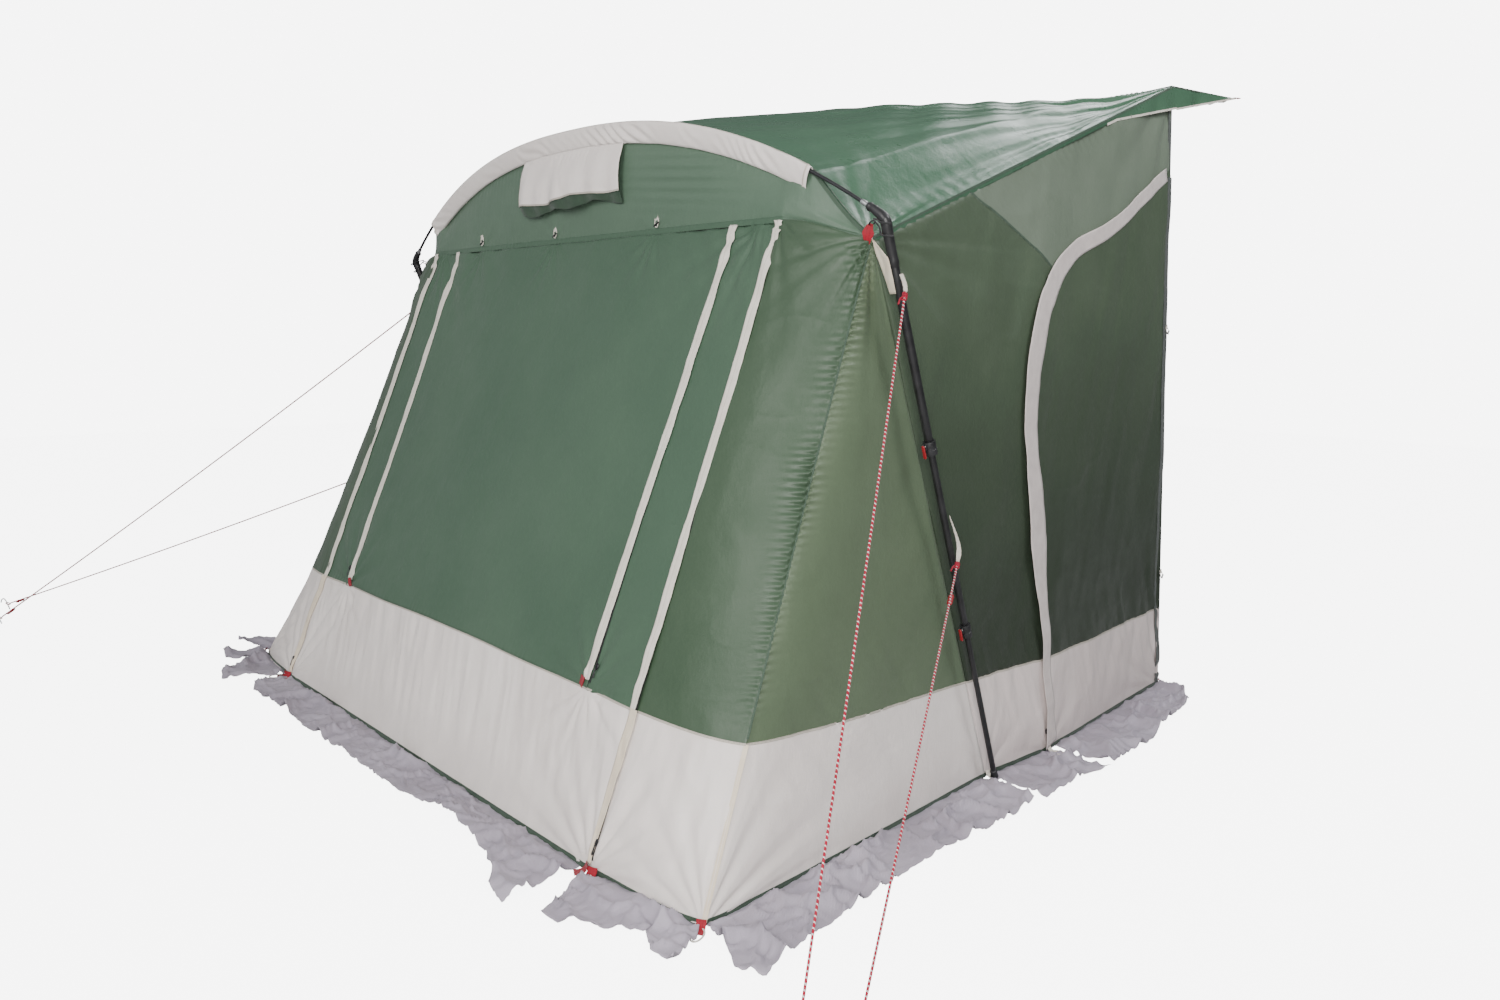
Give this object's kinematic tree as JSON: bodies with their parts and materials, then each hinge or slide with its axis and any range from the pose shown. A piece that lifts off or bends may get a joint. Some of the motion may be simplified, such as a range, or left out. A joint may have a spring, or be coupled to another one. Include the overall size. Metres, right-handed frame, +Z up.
{
  "type": "vehicle awning tent",
  "caption": "Tailgate awning tent with an arched front on telescopic legs, zipped front and side doors, a vent hood, ground skirts and guy ropes.",
  "frame": {"origin": "on the ground at the middle of the footprint, guy ropes left out", "axes": "+Z up; -Y towards the sloping front door; +Y towards the vehicle; +X to the right of a person who faces the vehicle from the front"},
  "size_m": [5.4279, 3.9294, 2.3612],
  "materials": {
    "green_fabric": "coated plain-weave polyester, satin",
    "beige_fabric": "coated plain-weave polyester, satin",
    "skirt_fabric": "matt polyethylene sheet",
    "insect_mesh": "fine black knitted net",
    "black_tube": "powder-coated steel, semi-gloss",
    "arch_rod": "fibreglass, semi-gloss",
    "bright_ferrule": "bright plated",
    "black_plastic": "moulded, matt",
    "red_plastic": "moulded, satin",
    "zip_metal": "black lacquered",
    "rope_red": "braided, matt",
    "peg_steel": "plated wire"
  },
  "bodies": {
    "root": {"roof": "green_fabric", "arch_sleeve": "beige_fabric", "front_upper_panel": "green_fabric", "arch_pole": "arch_rod", "rear_cross_bar": "black_tube", "front_corner_right": "green_fabric", "side_wall_right": "green_fabric", "elbow_right": "black_plastic", "elbow_ferrule_right": "bright_ferrule", "leg_upper_right": "black_tube", "leg_clamp_upper_right": "black_plastic", "rear_upright_upper_right": "black_tube", "skirt_side_right": "skirt_fabric", "front_corner_left": "green_fabric", "side_wall_left": "green_fabric", "elbow_left": "black_plastic", "elbow_ferrule_left": "bright_ferrule", "leg_upper_left": "black_tube", "leg_clamp_upper_left": "black_plastic", "rear_upright_upper_left": "black_tube", "skirt_side_left": "skirt_fabric", "guy_rope_right_upper": "rope_red", "guy_rope_right_lower": "rope_red", "guy_rope_left_upper": "rope_red", "guy_rope_left_lower": "rope_red", "guy_peg_right_upper": "peg_steel", "guy_peg_right_lower": "peg_steel", "guy_peg_left_upper": "peg_steel", "guy_peg_left_lower": "peg_steel"},
    "front_door": {"front_door": "green_fabric", "window_mesh": "insect_mesh", "skirt_front": "skirt_fabric"},
    "window_cover": {"window_cover": "green_fabric"},
    "vent_hood": {"vent_hood": "beige_fabric"},
    "leg_middle_right": {"leg_middle_right": "black_tube", "leg_clamp_lower_right": "black_plastic"},
    "leg_lower_right": {"leg_lower_right": "black_tube", "leg_foot_right": "black_plastic"},
    "clamp_lever_upper_right": {"clamp_lever_upper_right": "red_plastic"},
    "clamp_lever_lower_right": {"clamp_lever_lower_right": "red_plastic"},
    "rear_upright_lower_right": {"rear_upright_lower_right": "black_tube"},
    "rear_twist_lock_right": {"rear_twist_lock_right": "black_plastic"},
    "side_door_right": {"side_door_right": "green_fabric", "skirt_door_right": "skirt_fabric"},
    "window_zip_slider_right": {"window_zip_slider_right": "zip_metal"},
    "door_zip_slider_right": {"door_zip_slider_right": "zip_metal"},
    "side_zip_slider_right": {"side_zip_slider_right": "zip_metal"},
    "leg_middle_left": {"leg_middle_left": "black_tube", "leg_clamp_lower_left": "black_plastic"},
    "leg_lower_left": {"leg_lower_left": "black_tube", "leg_foot_left": "black_plastic"},
    "clamp_lever_upper_left": {"clamp_lever_upper_left": "red_plastic"},
    "clamp_lever_lower_left": {"clamp_lever_lower_left": "red_plastic"},
    "rear_upright_lower_left": {"rear_upright_lower_left": "black_tube"},
    "rear_twist_lock_left": {"rear_twist_lock_left": "black_plastic"},
    "side_door_left": {"side_door_left": "green_fabric", "skirt_door_left": "skirt_fabric"},
    "window_zip_slider_left": {"window_zip_slider_left": "zip_metal"},
    "door_zip_slider_left": {"door_zip_slider_left": "zip_metal"},
    "side_zip_slider_left": {"side_zip_slider_left": "zip_metal"}
  },
  "joints": [
    {"name": "front_door_swing", "type": "hinge", "parent": "root", "child": "front_door", "pos_m": [0, -0.745, 1.722], "axis": [-1, 0, 0], "range_deg": [0, 68]},
    {"name": "window_cover_swing", "type": "hinge", "parent": "front_door", "child": "window_cover", "pos_m": [0, -0.75928, 1.70221], "axis": [-1, 0, 0], "range_deg": [0, 45]},
    {"name": "vent_hood_swing", "type": "hinge", "parent": "root", "child": "vent_hood", "pos_m": [0, -0.77089, 2.01], "axis": [-1, 0, 0], "range_deg": [0, 15]},
    {"name": "leg_middle_slide_right", "type": "slide", "parent": "root", "child": "leg_middle_right", "axis": [0.038, -0.3451, 0.9378], "range_m": [0, 0.42]},
    {"name": "leg_lower_slide_right", "type": "slide", "parent": "leg_middle_right", "child": "leg_lower_right", "axis": [0.038, -0.3451, 0.9378], "range_m": [0, 0.4]},
    {"name": "clamp_lever_upper_right_flip", "type": "hinge", "parent": "root", "child": "clamp_lever_upper_right", "pos_m": [1.42637, -0.49106, 1.09261], "axis": [-0.9993, -0.0131, 0.0356], "range_deg": [0, 100]},
    {"name": "clamp_lever_lower_right_flip", "type": "hinge", "parent": "leg_middle_right", "child": "clamp_lever_lower_right", "pos_m": [1.40346, -0.28112, 0.52754], "axis": [-0.9993, -0.0131, 0.0356], "range_deg": [0, 100]},
    {"name": "rear_upright_slide_right", "type": "slide", "parent": "root", "child": "rear_upright_lower_right", "axis": [-0.0233, -0.0142, 0.9996], "range_m": [0, 0.8]},
    {"name": "rear_twist_lock_turn_right", "type": "hinge", "parent": "root", "child": "rear_twist_lock_right", "pos_m": [1.03554, 1.26705, 1.05055], "axis": [-0.0233, -0.0142, 0.9996], "range_deg": [0, 90]},
    {"name": "side_door_swing_right", "type": "hinge", "parent": "root", "child": "side_door_right", "pos_m": [1.107, 1.307, 0], "axis": [-0.0247, -0.0153, 0.9996], "range_deg": [0, 95]},
    {"name": "window_zip_right", "type": "slide", "parent": "front_door", "child": "window_zip_slider_right", "axis": [0, 0.3678, 0.9299], "range_m": [0, 1.3]},
    {"name": "door_zip_right", "type": "slide", "parent": "root", "child": "door_zip_slider_right", "axis": [-0.0194, 0.3677, 0.9297], "range_m": [0, 1.7]},
    {"name": "side_zip_right", "type": "slide", "parent": "root", "child": "side_zip_slider_right", "axis": [0.0063, -0.1675, 0.9859], "range_m": [0, 1]},
    {"name": "leg_middle_slide_left", "type": "slide", "parent": "root", "child": "leg_middle_left", "axis": [-0.038, -0.3451, 0.9378], "range_m": [0, 0.42]},
    {"name": "leg_lower_slide_left", "type": "slide", "parent": "leg_middle_left", "child": "leg_lower_left", "axis": [-0.038, -0.3451, 0.9378], "range_m": [0, 0.4]},
    {"name": "clamp_lever_upper_left_flip", "type": "hinge", "parent": "root", "child": "clamp_lever_upper_left", "pos_m": [-1.42637, -0.49106, 1.09261], "axis": [-0.9993, 0.0131, -0.0356], "range_deg": [0, 100]},
    {"name": "clamp_lever_lower_left_flip", "type": "hinge", "parent": "leg_middle_left", "child": "clamp_lever_lower_left", "pos_m": [-1.40346, -0.28112, 0.52754], "axis": [-0.9993, 0.0131, -0.0356], "range_deg": [0, 100]},
    {"name": "rear_upright_slide_left", "type": "slide", "parent": "root", "child": "rear_upright_lower_left", "axis": [0.0233, -0.0142, 0.9996], "range_m": [0, 0.8]},
    {"name": "rear_twist_lock_turn_left", "type": "hinge", "parent": "root", "child": "rear_twist_lock_left", "pos_m": [-1.03554, 1.26705, 1.05055], "axis": [0.0233, -0.0142, 0.9996], "range_deg": [0, 90]},
    {"name": "side_door_swing_left", "type": "hinge", "parent": "root", "child": "side_door_left", "pos_m": [-1.107, 1.307, 0], "axis": [-0.0247, 0.0153, -0.9996], "range_deg": [0, 95]},
    {"name": "window_zip_left", "type": "slide", "parent": "front_door", "child": "window_zip_slider_left", "axis": [0, 0.3678, 0.9299], "range_m": [0, 1.3]},
    {"name": "door_zip_left", "type": "slide", "parent": "root", "child": "door_zip_slider_left", "axis": [0.0194, 0.3677, 0.9297], "range_m": [0, 1.7]},
    {"name": "side_zip_left", "type": "slide", "parent": "root", "child": "side_zip_slider_left", "axis": [-0.0063, -0.1675, 0.9859], "range_m": [0, 1]}
  ]
}
